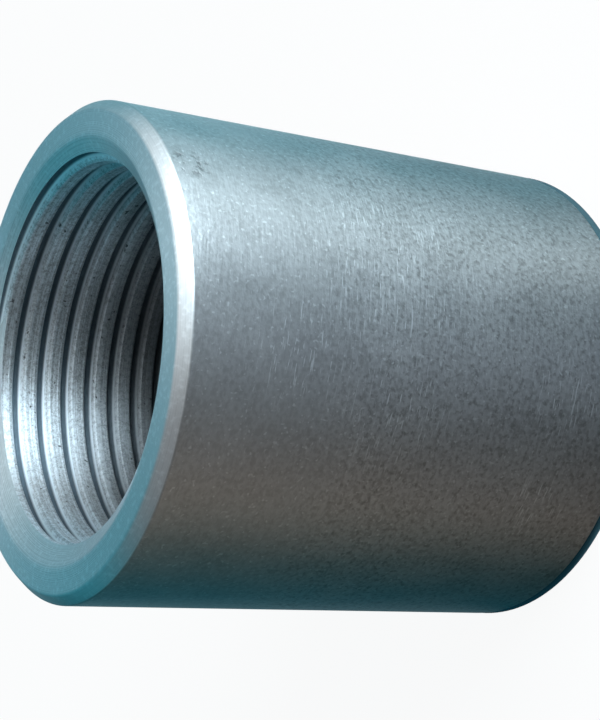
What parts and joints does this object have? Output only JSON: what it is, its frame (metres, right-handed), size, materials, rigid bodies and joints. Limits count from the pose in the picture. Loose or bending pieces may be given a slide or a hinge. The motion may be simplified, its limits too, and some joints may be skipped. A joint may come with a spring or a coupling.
{
  "type": "pipe socket",
  "caption": "Short steel pipe socket: a plain round sleeve threaded right through, with countersunk mouths and bevelled ends, that joins pipes end to end.",
  "frame": {"origin": "centre of the lower end face, where the axis meets the surface that the socket stands on", "axes": "+Z along the socket's axis, up through the bore; X and Y are alike"},
  "size_m": [0.0406, 0.0406, 0.043],
  "materials": {
    "zinc_steel": "dull zinc coating with fine grain and light scratches"
  },
  "bodies": {
    "root": {"socket_body": "zinc_steel"}
  },
  "joints": []
}
